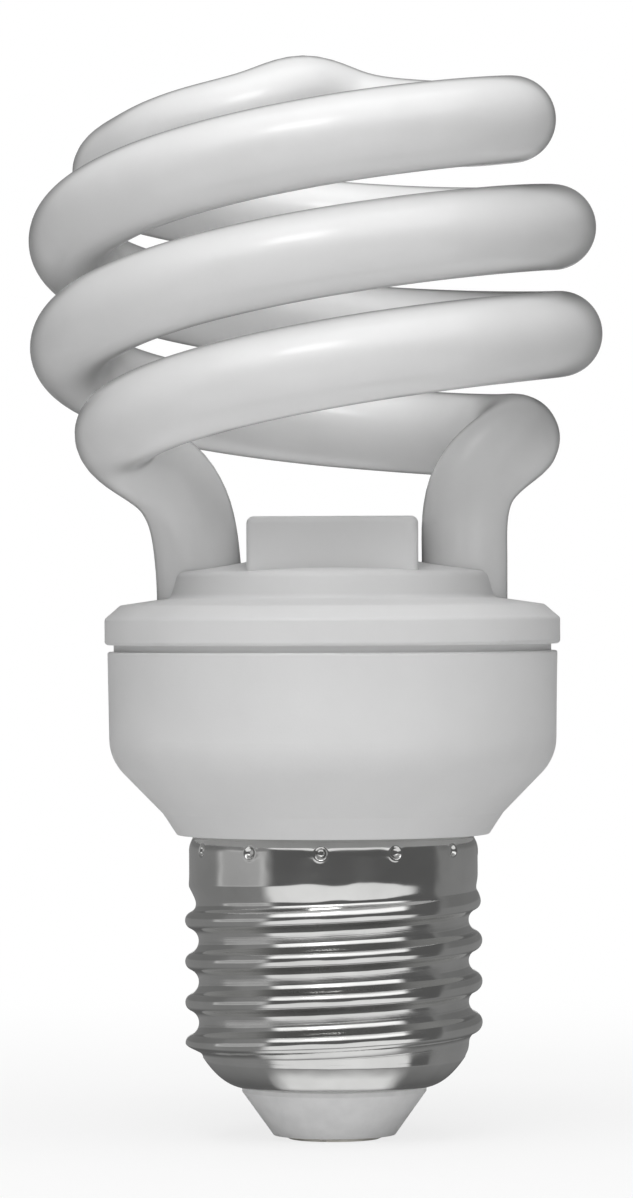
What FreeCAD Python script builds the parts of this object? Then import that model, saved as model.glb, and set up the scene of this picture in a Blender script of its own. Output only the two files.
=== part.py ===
"""Spiral energy saving lamp: a double-helix glass tube on a white two-piece base with an Edison screw cap.

The lamp stands on its cap. Z runs up the cap's axis from the bottom face of the centre contact, X runs to the
right and -Y points to the front. All sizes are millimetres and degrees.
"""

import FreeCAD, Part

import math
import os
import re

import Sketcher
from FreeCAD import Rotation, Vector

# Driving dimensions, one row each on the sheet
SIZES = {
    # screw cap
    "contact_radius": 4.4,
    "contact_bevel": 0.2,
    "contact_thickness": 0.9,
    "contact_clearance": 0.05,
    "rivet_radius": 1.3,
    "rivet_bore": 0.8,
    "rivet_head_radius": 1.9,
    "rivet_head": 0.4,
    "tip_land": 1.0,
    "tip_lift": 0.35,
    "insulator_web": 2.3,
    "insulator_well_radius": 3.2,
    "rim_bottom": 4.6,
    "rim_lip_gap": 0.4,
    "rim_hole_clearance": 0.1,
    "rim_turn_in": 1.7,
    "rim_turn_up": 0.75,
    "rim_shoulder": 0.95,
    "rim_outward": 1.64,
    "rim_height": 2.6,
    "shell_wall": 0.3,
    "thread_mean_radius": 12.55,
    "thread_depth": 1.2,
    "thread_pitch": 3.62,
    "thread_length": 15.4,
    "thread_crest_rise": 1.26,
    "thread_run_in": 1.3,
    "thread_run_out": 1.7,
    "thread_rows": 6,
    "skirt_step": 0.22,
    "skirt_height": 4.3,
    "dimple_count": 12,
    "dimple_drop": 1.5,
    "dimple_ball": 0.9,
    "dimple_depth": 0.2,
    "dimple_phase": -5,
    # plastic housing
    "housing_radius": 19.9,
    "housing_draft": 0.15,
    "housing_wall": 1.5,
    "wall_height": 9.5,
    "corner_round": 4.5,
    "cone_height": 4.8,
    "cone_foot": 1.25,
    "collar_lip": 1.04,
    "collar_height": 1.9,
    "inner_lift": 1.05,
    "hem_round": 0.25,
    "mouth_round": 0.2,
    "neck_wall": 1.0,
    "neck_gap": 2.3,
    "neck_clearance": 0.1,
    "neck_step_drop": 1.4,
    "neck_step_height": 1.6,
    "neck_root": 2.0,
    "notch_width": 1.4,
    "notch_depth": 1.4,
    "thread_clearance": 0.3,
    "fit_clearance": 0.1,
    "rib_width": 1.6,
    "rib_depth": 1.4,
    "rib_root": 0.2,
    "rib_height": 4.4,
    # cover over the ballast
    "seam_height": 0.6,
    "seam_depth": 0.55,
    "flange_overhang": 0.25,
    "flange_height": 2.3,
    "bevel_width": 1.4,
    "bevel_height": 1.2,
    "ring_width": 4.15,
    "ring_rise": 0.6,
    "plateau_draft": 0.6,
    "plateau_height": 2.3,
    "crown_width": 6.5,
    "crown_height": 0.9,
    "flange_round": 0.35,
    "bevel_round": 0.5,
    "plateau_foot_round": 0.5,
    "plateau_round": 0.7,
    "cover_wall": 1.5,
    "block_leg_gap": 0.22,
    "block_setback": 2.5,
    "block_height": 4.8,
    "block_round": 0.65,
    "block_wall": 1.3,
    "sleeve_wall": 1.4,
    "sleeve_drop": 1.0,
    "sleeve_overlap": 0.3,
    "cement_bead": 1.0,
    "tube_clearance": 0.25,
    "spigot_wall": 1.3,
    "snap_drop": 1.2,
    "snap_depth": 0.3,
    "snap_slope": 0.3,
    "snap_lead": 0.6,
    "snap_clearance": 0.15,
    # glass tube and its coil
    "tube_radius": 3.8,
    "leg_inset": 1.13,
    "leg_stand": 0.68,
    "seal_rise": 0.9,
    "seal_height": 2.6,
    "seal_width": 6.4,
    "seal_depth": 2.2,
    "elbow_low_out": 0.67,
    "elbow_low_rise": 7.34,
    "elbow_low_turn": -0.42,
    "elbow_high_in": 2.5,
    "elbow_high_rise": 3.72,
    "elbow_high_turn": 12,
    "coil_start_turn": 29.12,
    "coil_start_rise": 1.14,
    "coil_radius": 21.43,
    "coil_taper": 2.09,
    "coil_flare": 1.55,
    "coil_cone": 0.5,
    "coil_middle_turn": 229.3,
    "coil_taper_turn": 250,
    "coil_pitch": 19.03,
    "coil_steps": 17,
    "coil_step_angle": 27.5,
    "bridge_out_reach": 12.58,
    "bridge_out_rise": 1.61,
    "bridge_out_turn": 33,
    "bridge_in_reach": 4.29,
    "bridge_in_rise": 1.57,
    "bridge_in_turn": 28.06,
    "bridge_crest_rise": 1.96,
    "lean_front": 5.1,
    "lean_side": -1.86,
    "lean_shift": -1.46,
    "lean_start": 1.5,
    "lean_blend": 9,
    # circuit board and what is fixed to it
    "board_drop": 4.1,
    "board_thickness": 1.5,
    "board_clearance": 0.6,
    "edge_gap": 0.7,
    "part_gap": 2.0,
    "stand_off": 0.5,
    "lead_width": 0.5,
    "can_radius": 4.0,
    "can_length": 19,
    "can_place": -4.2,
    "can_groove": 0.4,
    "can_crimp_drop": 2.0,
    "core_place": 5.1,
    "core_width": 13,
    "core_depth": 5,
    "core_height": 10,
    "core_plate": 2.2,
    "core_leg": 2.2,
    "core_middle": 3.6,
    "core_gap": 0.1,
    "bobbin_wall": 0.7,
    "bobbin_rail": 1.8,
    "bobbin_slack": 0.2,
    "winding_depth": 1.3,
    "box_width": 9,
    "box_depth": 4.5,
    "box_height": 8.2,
    "small_box_share": 0.9,
    "ring_core_radius": 2.8,
    "ring_core_hole": 1.4,
    "ring_core_height": 2.6,
    "ring_core_angle": 141,
    "drive_turns": 3,
    "drum_radius": 2.9,
    "drum_height": 5.0,
    "drum_flange": 1.0,
    "drum_neck": 1.6,
    "drum_winding_inset": 0.3,
    "case_radius": 2.4,
    "case_flat": 1.2,
    "case_height": 4.8,
    "case_angle": 28,
    "case_lead_pitch": 1.27,
    "diode_radius": 1.3,
    "diode_length": 4.2,
    "diode_count": 4,
    "diode_first_angle": 200,
    "diode_step_angle": 14.5,
    "resistor_radius": 1.1,
    "resistor_length": 3.6,
    "fuse_radius": 1.2,
    "fuse_length": 4.2,
    "diac_radius": 0.9,
    "diac_length": 4,
    "disc_radius": 1.8,
    "disc_thickness": 1.4,
    "pin_width": 0.9,
    "pin_height": 2.0,
    "pin_out": 1.4,
    "pin_side": 5.0,
    "lead_side": 1.9,
    "wire_radius": 0.45,
    "wire_lift": 0.2,
    "centre_wire_side": -0.8,
    "centre_wire_rise": 0.8,
    "centre_wire_drop": 7,
    "side_wire_turn": 4,
    "side_wire_up": 7,
}

# Places that follow from the driving dimensions, from the contact upwards
DERIVED = {
    "insulator_tip_radius": "contact_radius + tip_land",
    "insulator_floor": "contact_thickness + insulator_web",
    "insulator_shoulder": "rim_bottom - rim_lip_gap",
    "rim_middle": "rim_bottom + rim_turn_up",
    "thread_bottom": "rim_bottom + rim_height",
    "insulator_top": "thread_bottom",
    "rim_top_radius": "thread_mean_radius - rim_shoulder",
    "rim_middle_radius": "rim_top_radius - rim_outward",
    "rim_hole_radius": "rim_middle_radius - rim_turn_in",
    "insulator_shoulder_radius": "rim_hole_radius - rim_hole_clearance",
    "skirt_bottom": "thread_bottom + thread_length",
    "skirt_radius": "thread_mean_radius + skirt_step",
    "shell_top": "skirt_bottom + skirt_height",
    "dimple_height": "shell_top - dimple_drop",
    "neck_radius": "thread_mean_radius - thread_depth / 2 - shell_wall - thread_clearance",
    "neck_mouth_radius": "skirt_radius - shell_wall - neck_clearance",
    "neck_bottom": "insulator_top + neck_gap",
    "neck_step": "skirt_bottom - neck_step_drop",
    "collar_radius": "skirt_radius + collar_lip",
    "cone_low_radius": "collar_radius + cone_foot",
    "cone_low": "shell_top + collar_height",
    "housing_corner": "cone_low + cone_height",
    "housing_low_radius": "housing_radius - housing_draft",
    "housing_top": "housing_corner + wall_height",
    "inner_radius": "housing_radius - housing_wall",
    "snap_height": "housing_top - snap_drop",
    "spigot_radius": "inner_radius - fit_clearance",
    "seam_radius": "housing_radius - seam_depth",
    "flange_radius": "housing_radius + flange_overhang",
    "flange_bottom": "housing_top + seam_height",
    "flange_top": "flange_bottom + flange_height",
    "ring_radius": "flange_radius - bevel_width",
    "ring_edge": "flange_top + bevel_height",
    "ring_top": "ring_edge + ring_rise",
    "plateau_radius": "ring_radius - ring_width",
    "plateau_edge_radius": "plateau_radius - plateau_draft",
    "plateau_inner_radius": "plateau_edge_radius - crown_width",
    "plateau_edge": "ring_top + plateau_height",
    "plateau_top": "plateau_edge + crown_height",
    "block_top": "plateau_edge + block_height",
    "block_foot": "plateau_edge - cover_wall",
    "sleeve_top": "ring_edge - cover_wall + sleeve_overlap",
    "leg_reach": "spigot_radius - sleeve_wall - tube_clearance - tube_radius - leg_inset",
    "leg_top": "plateau_edge + leg_stand",
    "block_width": "(leg_reach - tube_radius - tube_clearance - block_leg_gap) * 2",
    "block_length": "(plateau_edge_radius - block_setback) * 2",
    "seal_top": "flange_bottom + seal_rise",
    "seal_bottom": "seal_top - seal_height",
    "sleeve_bottom": "seal_top - sleeve_drop",
    "elbow_low_reach": "leg_reach + elbow_low_out",
    "elbow_low_height": "leg_top + elbow_low_rise",
    "elbow_low_angle": "180 + elbow_low_turn",
    "elbow_high_reach": "coil_radius - elbow_high_in",
    "elbow_high_height": "elbow_low_height + elbow_high_rise",
    "elbow_high_angle": "elbow_low_angle + elbow_high_turn",
    "coil_start_angle": "elbow_high_angle + coil_start_turn",
    "coil_middle_angle": "coil_start_angle + coil_middle_turn",
    "coil_middle": "elbow_high_height + coil_start_rise + coil_pitch * coil_middle_turn / 360",
    "coil_turn": "coil_steps * coil_step_angle",
    "coil_end": "coil_middle + coil_pitch * (coil_turn - coil_middle_turn) / 360",
    "bridge_out_angle": "coil_start_angle + coil_turn + bridge_out_turn",
    "bridge_out_height": "coil_end + bridge_out_rise",
    "bridge_in_angle": "bridge_out_angle + bridge_in_turn",
    "bridge_in_height": "bridge_out_height + bridge_in_rise",
    "bridge_crest": "bridge_in_height + bridge_crest_rise",
    "lean_from": "leg_top + lean_start",
    "board_bottom": "housing_top - board_drop",
    "board_top": "board_bottom + board_thickness",
    "board_radius": "housing_low_radius - housing_wall - board_clearance",
    "rib_foot": "board_bottom - rib_height",
    "parts_reach": "board_radius - edge_gap",
    "box_place": "core_width / 2 + part_gap + box_depth / 2",
    "wire_lane": "(core_width + part_gap) / 2",
    "core_top": "board_bottom - core_gap",
}

# How near an edge has to lie to the radius and height that name it
EDGE_MATCH = 0.02

# Plain axial parts that stand on the board: node, kind on the sheet and angle
STANDING = [
    ("fuse_resistor", "fuse", 300),
    ("base_resistor_1", "resistor", 44),
    ("base_resistor_2", "resistor", 316),
    ("start_resistor", "resistor", 170),
    ("diac", "diac", 56),
]

doc = FreeCAD.newDocument("energy_saving_lamp")
sheet = doc.addObject("Spreadsheet::Sheet", "Sizes")
rows = {alias: str(number) for alias, number in SIZES.items()}
rows.update({alias: "=" + text for alias, text in DERIVED.items()})
for row, (alias, content) in enumerate(rows.items(), 1):
    sheet.set(f"A{row}", alias)
    sheet.set(f"B{row}", content)
    sheet.setAlias(f"B{row}", alias)
doc.recompute()

pieces = []


def size(text):
    """The number that an expression on the sheet's aliases gives now."""
    return float(sheet.evalExpression(text))


def on_sheet(text):
    """The same expression as other objects read it, with the sheet named before each alias."""
    return re.sub(r"[a-z][a-z_]*", lambda word: "Sizes." + word.group(0), text)


def bind(item, **expressions):
    """Ties properties of an object to expressions, where x, y and z stand for its place."""
    for name, text in expressions.items():
        path = f"Placement.Base.{name}" if name in ("x", "y", "z") else name
        item.setExpression(path, on_sheet(text))
    return item


def keep(item, node):
    """Labels an object as a sub-part of the lamp, to be written out as its own node."""
    item.Label = node
    pieces.append(item)
    return item


def cylinder(name, radius, height, x="0", y="0", z="0"):
    """An upright cylinder on the point x, y, z."""
    item = doc.addObject("Part::Cylinder", name)
    return bind(item, Radius=radius, Height=height, x=x, y=y, z=z)


def block(name, length, width, height, x="0", y="0", z="0"):
    """An upright box whose foot is centred on the point x, y, z."""
    item = doc.addObject("Part::Box", name)
    bind(item, Length=length, Width=width, Height=height)
    return bind(item, x=f"{x} - ({length}) / 2", y=f"{y} - ({width}) / 2", z=z)


def union(name, *parts):
    """One piece from several that overlap."""
    item = doc.addObject("Part::MultiFuse", name)
    item.Shapes = list(parts)
    return item


def cut(name, base, *tools):
    """A piece with others taken out of it."""
    item = doc.addObject("Part::Cut", name)
    item.Base = base
    item.Tool = tools[0] if len(tools) == 1 else union(name + "_tools", *tools)
    return item


def turned(name, profile):
    """A body turned about Z from an outline of radius and height expressions, None being the axis."""
    body = doc.addObject("PartDesign::Body", name)
    sketch = body.newObject("Sketcher::SketchObject", name + "_outline")
    plane = next(f for f in body.Origin.OriginFeatures if f.Role == "XZ_Plane")
    sketch.AttachmentSupport = [(plane, "")]
    sketch.MapMode = "FlatFace"
    points = [Vector(size(r) if r else 0, size(z), 0) for r, z in profile]
    count = len(points)
    for i in range(count):
        sketch.addGeometry(Part.LineSegment(points[i], points[(i + 1) % count]))
    for i, (r, z) in enumerate(profile):
        sketch.addConstraint(Sketcher.Constraint("Coincident", i, 1, (i - 1) % count, 2))
        if r:
            at = sketch.addConstraint(Sketcher.Constraint("DistanceX", -1, 1, i, 1, points[i].x))
            sketch.setExpression(f"Constraints[{at}]", on_sheet(r))
        else:
            sketch.addConstraint(Sketcher.Constraint("PointOnObject", i, 1, -2))
        at = sketch.addConstraint(Sketcher.Constraint("DistanceY", -1, 1, i, 1, points[i].y))
        sketch.setExpression(f"Constraints[{at}]", on_sheet(z))
    turn = body.newObject("PartDesign::Revolution", name + "_turn")
    turn.Profile = sketch
    turn.ReferenceAxis = (sketch, ["V_Axis"])
    turn.Angle = 360
    body.Tip = turn
    doc.recompute()
    return body


def rounded(body, radius, *rings):
    """Rounds the circular edges of a turned body that have these radii and heights."""
    sharp = body.Tip
    wanted = [(size(r), size(z)) for r, z in rings]
    names = []
    for i, edge in enumerate(sharp.Shape.Edges, 1):
        box = edge.BoundBox
        for reach, height in wanted:
            near = abs(box.ZMin - height) + abs(box.ZMax - height) + abs(box.XMax - reach)
            if near < EDGE_MATCH:
                names.append(f"Edge{i}")
    if len(names) != len(rings):
        raise ValueError(f"{radius} finds {len(names)} edges in place of {len(rings)}")
    bend = body.newObject("PartDesign::Fillet", radius)
    bend.Base = (sharp, names)
    bend.setExpression("Radius", on_sheet(radius))
    body.Tip = bend
    doc.recompute()


def around(reach, angle, height=0.0):
    """The point at a distance from the axis, an angle and a height."""
    turn = math.radians(angle)
    return Vector(reach * math.cos(turn), reach * math.sin(turn), height)


def ease(share):
    """A smooth step from 0 to 1."""
    share = min(1.0, max(0.0, share))
    return share * share * (3 - 2 * share)


def solid_feature(name, shape):
    """A feature that holds a shape made here."""
    item = doc.addObject("Part::Feature", name)
    item.Shape = shape
    return item


def arc_chain(points):
    """Straight runs through the points, with the corner at each point turned into a tangent arc."""
    runs = [(b - a).Length for a, b in zip(points, points[1:])]
    edges = []
    here = points[0]
    for i in range(1, len(points) - 1):
        back = (points[i - 1] - points[i]).normalize()
        ahead = (points[i + 1] - points[i]).normalize()
        turn = math.pi - back.getAngle(ahead)
        if turn < 1e-4:
            continue
        reach = 0.5 * min(runs[i - 1], runs[i])
        radius = reach / math.tan(turn / 2)
        inward = (back + ahead).normalize()
        start = points[i] + back * reach
        middle = points[i] + inward * (radius / math.cos(turn / 2) - radius)
        if (start - here).Length > 1e-5:
            edges.append(Part.LineSegment(here, start).toShape())
        here = points[i] + ahead * reach
        edges.append(Part.Arc(start, middle, here).toShape())
    edges.append(Part.LineSegment(here, points[-1]).toShape())
    return Part.Wire(edges)


def tube_along(points, radius):
    """A round tube, solid inside, along an arc chain."""
    path = arc_chain(points)
    ring = Part.Circle(points[0], points[1] - points[0], radius).toShape()
    tube = path.makePipeShell([Part.Wire([ring])], True, False)
    expected = math.pi * radius**2 * path.Length
    if abs(tube.Volume - expected) > 0.01 * expected:
        raise ValueError("the tube's volume isn't its section times its length")
    return tube


def lean(point):
    """Where a point of the true coil lies once the coil leans to the front and the side above the legs."""
    share = min(1.0, max(0.0, (point.z - size("lean_from")) / size("lean_blend")))
    middle = Vector(0, 0, size("coil_middle"))
    front = Rotation(Vector(1, 0, 0), -size("lean_front"))
    side = Rotation(Vector(0, 1, 0), size("lean_side"))
    moved = side.multVec(front.multVec(point - middle)) + middle + Vector(size("lean_shift"), 0, 0)
    return point + (moved - point) * share


def bend_point(name):
    """The corner of the tube that has this name on the sheet."""
    return around(size(name + "_reach"), size(name + "_angle"), size(name + "_height"))


def coil_half():
    """The corners of one strand, from the foot of the left leg round and up to the bridge."""
    leg = size("leg_reach")
    points = [around(leg, 180, size("seal_top")), around(leg, 180, size("leg_top"))]
    points += [bend_point("elbow_low"), bend_point("elbow_high")]
    step = size("coil_step_angle")
    for i in range(int(size("coil_steps")) + 1):
        angle = size("coil_start_angle") + step * i
        share = (angle - size("coil_middle_angle")) / size("coil_taper_turn")
        bulge = -size("coil_taper") if share < 0 else size("coil_flare")
        reach = size("coil_radius") - size("coil_cone") * share + bulge * abs(share) ** 3
        height = size("coil_middle") + size("coil_pitch") * (angle - size("coil_middle_angle")) / 360
        points.append(around(reach / math.cos(math.radians(step / 2)), angle, height))
    return points + [bend_point("bridge_out"), bend_point("bridge_in")]


def spiral_tube():
    """The glass: two strands, each the other turned half round, with a pinched seal at each foot."""
    strand = coil_half()
    crest = Vector(0, 0, size("bridge_crest"))
    other = [Vector(-p.x, -p.y, p.z) for p in reversed(strand)]
    glass = tube_along([lean(p) for p in strand + [crest] + other], size("tube_radius"))
    up = Vector(0, 0, 1)
    for angle in (180, 0):
        foot = around(size("leg_reach"), angle)
        ring = Part.Circle(foot + up * size("seal_top"), up, size("tube_radius")).toShape()
        seal = Part.Ellipse(foot + up * size("seal_bottom"), size("seal_width / 2"), size("seal_depth / 2"))
        glass = glass.fuse(Part.makeLoft([Part.Wire([ring]), Part.Wire([seal.toShape()])], True))
    return keep(solid_feature("glass", glass.removeSplitter()), "spiral_tube")


def cover_shell():
    """The turned part of the cover: flange, bevel, ring, plateau and the spigot with its snap bead."""
    shell = turned("cover_shell", [
        ("spigot_radius", "board_top + fit_clearance"),
        ("spigot_radius", "snap_height - snap_lead"),
        ("spigot_radius + snap_depth", "snap_height"),
        ("spigot_radius", "snap_height + snap_slope"),
        ("spigot_radius", "housing_top"),
        ("seam_radius", "housing_top"),
        ("seam_radius", "flange_bottom"),
        ("flange_radius", "flange_bottom"),
        ("flange_radius", "flange_top"),
        ("ring_radius", "ring_edge"),
        ("plateau_radius", "ring_top"),
        ("plateau_edge_radius", "plateau_edge"),
        ("plateau_inner_radius", "plateau_top"),
        (None, "plateau_top"),
        (None, "block_foot"),
        ("plateau_edge_radius - cover_wall", "block_foot"),
        ("plateau_radius - cover_wall", "ring_top - cover_wall"),
        ("spigot_radius - spigot_wall", "ring_edge - cover_wall"),
        ("spigot_radius - spigot_wall", "board_top + fit_clearance"),
    ])
    rounded(shell, "flange_round", ("flange_radius", "flange_bottom"), ("flange_radius", "flange_top"))
    rounded(shell, "bevel_round", ("ring_radius", "ring_edge"))
    rounded(shell, "plateau_foot_round", ("plateau_radius", "ring_top"))
    rounded(shell, "plateau_round", ("plateau_edge_radius", "plateau_edge"))
    return shell


def tube_cover():
    """The moulded cover: a turned shell with a hollow block between two sleeved holes for the legs."""
    bar = block("cover_block", "block_width", "block_length", "block_top - block_foot", z="block_foot")
    doc.recompute()
    soft_bar = doc.addObject("Part::Fillet", "cover_block_rounded")
    soft_bar.Base = bar
    top = size("block_top") - 0.01
    soft_bar.Edges = [(i, size("block_round"), size("block_round"))
                      for i, edge in enumerate(bar.Shape.Edges, 1) if edge.BoundBox.ZMax > top]
    hollow = block("cover_block_hollow", "block_width - block_wall * 2", "block_length - block_wall * 2",
                   "block_top - block_wall - block_foot", z="block_foot")
    added, removed = [soft_bar], [hollow]
    for side in ("-", ""):
        x = f"{side}leg_reach"
        added.append(cylinder("sleeve", "tube_radius + tube_clearance + sleeve_wall",
                              "sleeve_top - sleeve_bottom", x=x, z="sleeve_bottom"))
        removed.append(cylinder("leg_hole", "tube_radius + tube_clearance",
                                "block_top - sleeve_bottom", x=x, z="sleeve_bottom"))
    return keep(cut("cover", union("cover_solid", cover_shell(), *added), *removed), "tube_cover")


def tube_cement(number, side):
    """The cement between one leg and its sleeve."""
    x = f"{side}leg_reach"
    height = "ring_edge - cover_wall + cement_bead - seal_top"
    fill = cylinder("cement_fill", "tube_radius + tube_clearance", height, x=x, z="seal_top")
    leg = cylinder("cement_leg", "tube_radius", height, x=x, z="seal_top")
    return keep(cut("cement", fill, leg), f"tube_cement_{number}")


def base_housing():
    """The cup: neck, collar, cone and wall in one moulding, with four ribs that carry the board."""
    cup = turned("housing_cup", [
        ("neck_radius", "neck_bottom"),
        ("neck_radius", "neck_step"),
        ("neck_mouth_radius", "neck_step + neck_step_height"),
        ("neck_mouth_radius", "shell_top"),
        ("collar_radius", "shell_top"),
        ("cone_low_radius", "cone_low"),
        ("housing_low_radius", "housing_corner"),
        ("housing_radius", "housing_top"),
        ("inner_radius", "housing_top"),
        ("inner_radius", "snap_height + snap_slope + snap_clearance"),
        ("inner_radius + snap_depth", "snap_height"),
        ("inner_radius", "snap_height - snap_lead - snap_clearance"),
        ("housing_low_radius - housing_wall", "housing_corner + inner_lift"),
        ("cone_low_radius - housing_wall", "cone_low + inner_lift"),
        ("neck_radius - neck_wall", "cone_low - neck_root"),
        ("neck_radius - neck_wall", "neck_bottom"),
    ])
    rounded(cup, "corner_round", ("housing_low_radius", "housing_corner"))
    rounded(cup, "mouth_round", ("housing_radius", "housing_top"))
    rounded(cup, "hem_round", ("collar_radius", "shell_top"))
    reach = "(housing_low_radius - housing_wall + rib_root - rib_depth / 2)"
    tall = {"height": "rib_height", "z": "rib_foot"}
    ribs = []
    for sign in ("-", ""):
        ribs.append(block("board_rib", "rib_depth", "rib_width", x=sign + reach, **tall))
        ribs.append(block("board_rib", "rib_width", "rib_depth", y=sign + reach, **tall))
    notch = block("wire_notch", "notch_width", "notch_depth", "side_wire_up",
                  y="neck_radius - neck_wall / 2 + neck_clearance", z="neck_bottom - wire_radius")
    return keep(cut("housing", union("housing_ribbed", cup, *ribs), notch), "base_housing")


def thread_sections(inset):
    """Rings whose centre runs round the axis as they rise: a rolled thread with round flanks."""
    low, high, pitch = size("thread_bottom"), size("skirt_bottom"), size("thread_pitch")
    mean, rim, skirt = (size(n) for n in ("thread_mean_radius", "rim_top_radius", "skirt_radius"))
    count = round((high - low) / pitch * size("thread_rows"))
    rings = []
    for i in range(count + 1):
        height = low + (high - low) * i / count
        run_in = ease((height - low) / size("thread_run_in"))
        run_out = ease((height - high) / size("thread_run_out") + 1)
        swing = size("thread_depth") / 2 * min(run_in, 1 - run_out)
        radius = rim + (mean - rim) * run_in + (skirt - mean) * run_out
        turn = 180 + 360 * (height - low - size("thread_crest_rise")) / pitch
        ring = Part.Circle(around(swing, turn, height), Vector(0, 0, 1), radius - inset)
        rings.append(Part.Wire([ring.toShape()]))
    return rings


def rim_face(inset):
    """The turned-in rim as a solid of revolution up to the start of the thread, smaller by the inset."""
    hole, middle, top = (size(n) for n in ("rim_hole_radius", "rim_middle_radius", "rim_top_radius"))
    low, high = size("rim_bottom") + inset, size("thread_bottom")
    tilt = math.atan2(high - size("rim_bottom"), top - hole)
    mid = Vector(middle - inset * math.sin(tilt), 0, size("rim_middle") + inset * math.cos(tilt))
    corners = [Vector(top - inset, 0, high), Vector(0, 0, high), Vector(0, 0, low), Vector(hole, 0, low)]
    bow = Part.Arc(corners[3], mid, corners[0]).toShape()
    lines = [Part.LineSegment(a, b).toShape() for a, b in zip(corners, corners[1:])]
    return Part.Face(Part.Wire([bow, *lines])).revolve(Vector(), Vector(0, 0, 1), 360)


def screw_shell():
    """The thin rolled shell: turned-in rim, round thread, plain skirt and the punch marks that lock it."""
    wall = size("shell_wall")
    top, low = size("shell_top"), size("skirt_bottom")
    solids = []
    for inset in (0, wall):
        thread = Part.makeLoft(thread_sections(inset), True, True)
        skirt = Part.makeCylinder(size("skirt_radius") - inset, top - low, Vector(0, 0, low))
        solids.append((rim_face(inset), thread, skirt))
    rim, thread, skirt = (outer.cut(inner) for outer, inner in zip(*solids))
    hole = Part.makeCylinder(size("rim_hole_radius"), wall * 4, Vector(0, 0, size("rim_bottom")))
    shell = rim.cut(hole).fuse([thread, skirt])
    reach = size("skirt_radius - dimple_depth + dimple_ball")
    count = int(size("dimple_count"))
    for i in range(count):
        place = around(reach, -90 + size("dimple_phase") + 360 * i / count, size("dimple_height"))
        shell = shell.cut(Part.makeSphere(size("dimple_ball"), place))
    return keep(solid_feature("shell", shell), "screw_shell")


def cap_insulator():
    """The insulator in the tip of the cap, held by the rim and bored for the contact's rivet."""
    bed = ("rim_middle_radius - shell_wall * 1.2", "rim_middle + shell_wall * 1.2")
    return keep(turned("insulator", [
        ("contact_radius + contact_clearance", "tip_lift"),
        ("insulator_tip_radius", "tip_lift"),
        ("insulator_shoulder_radius", "insulator_shoulder"),
        ("insulator_shoulder_radius", "rim_bottom + shell_wall"),
        bed,
        (bed[0], "insulator_top"),
        ("insulator_well_radius", "insulator_top"),
        ("insulator_well_radius", "insulator_floor"),
        ("rivet_radius", "insulator_floor"),
        ("rivet_radius", "contact_thickness"),
        ("contact_radius + contact_clearance", "contact_thickness"),
    ]), "cap_insulator")


def centre_contact():
    """The contact plate with its hollow rivet, spread over the insulator's floor."""
    return keep(turned("contact", [
        (None, "0"),
        ("contact_radius - contact_bevel * 2", "0"),
        ("contact_radius", "contact_bevel"),
        ("contact_radius", "contact_thickness"),
        ("rivet_radius", "contact_thickness"),
        ("rivet_radius", "insulator_floor"),
        ("rivet_head_radius", "insulator_floor"),
        ("rivet_head_radius", "insulator_floor + rivet_head"),
        ("rivet_bore", "insulator_floor + rivet_head"),
        ("rivet_bore", "contact_thickness"),
        (None, "contact_thickness"),
    ]), "centre_contact")


def pin_places():
    """Where the four square pins stand on the board, as x and y expressions."""
    return [(f"{sx}(leg_reach + pin_out)", f"{sy}pin_side") for sx in ("-", "") for sy in ("-", "")]


def circuit_board():
    """The round board, with square holes for the four wrap pins."""
    disc = cylinder("board_disc", "board_radius", "board_thickness", z="board_bottom")
    holes = [block("pin_hole", "pin_width", "pin_width", "board_thickness", x=x, y=y, z="board_bottom")
             for x, y in pin_places()]
    keep(cut("board", disc, *holes), "circuit_board")
    tall = "board_thickness + pin_height"
    for number, (x, y) in enumerate(pin_places(), 1):
        keep(block("pin", "pin_width", "pin_width", tall, x=x, y=y, z="board_bottom"), f"wrap_pin_{number}")


def choke():
    """The lamp choke: two E cores face to face through a bobbin, with its winding and two pin rails."""
    x = "core_place"
    half = "core_height / 2"
    window = "(core_width / 2 - core_leg - core_middle / 2)"
    inside = "core_top - core_height + core_plate"
    for node, foot, opening in (
        ("choke_core_lower", "core_top - core_height", inside),
        ("choke_core_upper", f"core_top - {half}", f"core_top - {half}"),
    ):
        body = block("core_half", "core_depth", "core_width", half, x=x, z=foot)
        windows = [block("core_window", "core_depth", window, f"{half} - core_plate", x=x,
                         y=f"{side}(core_middle + {window}) / 2", z=opening) for side in ("-", "")]
        keep(cut("core", body, *windows), node)
    tall = "(core_height - core_plate * 2)"
    tube_length = "(core_depth + bobbin_slack + bobbin_wall * 2)"
    tube_width = "(core_middle + bobbin_slack + bobbin_wall * 2)"
    flange_width = f"(core_middle + {window} * 2 - bobbin_slack * 2)"
    flange_length = f"({tube_length} + winding_depth * 2 + bobbin_slack * 2)"
    tube = block("bobbin_tube", tube_length, tube_width, tall, x=x, z=inside)
    flanges = [block("bobbin_flange", flange_length, flange_width, "bobbin_wall", x=x, z=z)
               for z in (inside, f"{inside} + {tall} - bobbin_wall")]
    rails = [block("bobbin_rail", "bobbin_rail", flange_width, "core_plate + core_gap + bobbin_wall",
                   x=f"core_place {sign} ({flange_length} - bobbin_rail) / 2",
                   z="board_bottom - core_gap - core_plate - bobbin_wall") for sign in ("-", "+")]
    bore = block("bobbin_bore", "core_depth + bobbin_slack", "core_middle + bobbin_slack", tall,
                 x=x, z=inside)
    keep(cut("bobbin", union("bobbin_solid", tube, *flanges, *rails), bore), "choke_bobbin")
    wound = f"{tall} - bobbin_wall * 2"
    coil = block("winding_outer", f"{tube_length} + winding_depth * 2", f"{tube_width} + winding_depth",
                 wound, x=x, z=f"{inside} + bobbin_wall")
    core = block("winding_inner", tube_length, tube_width, wound, x=x, z=f"{inside} + bobbin_wall")
    keep(cut("winding", coil, core), "choke_winding")


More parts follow.
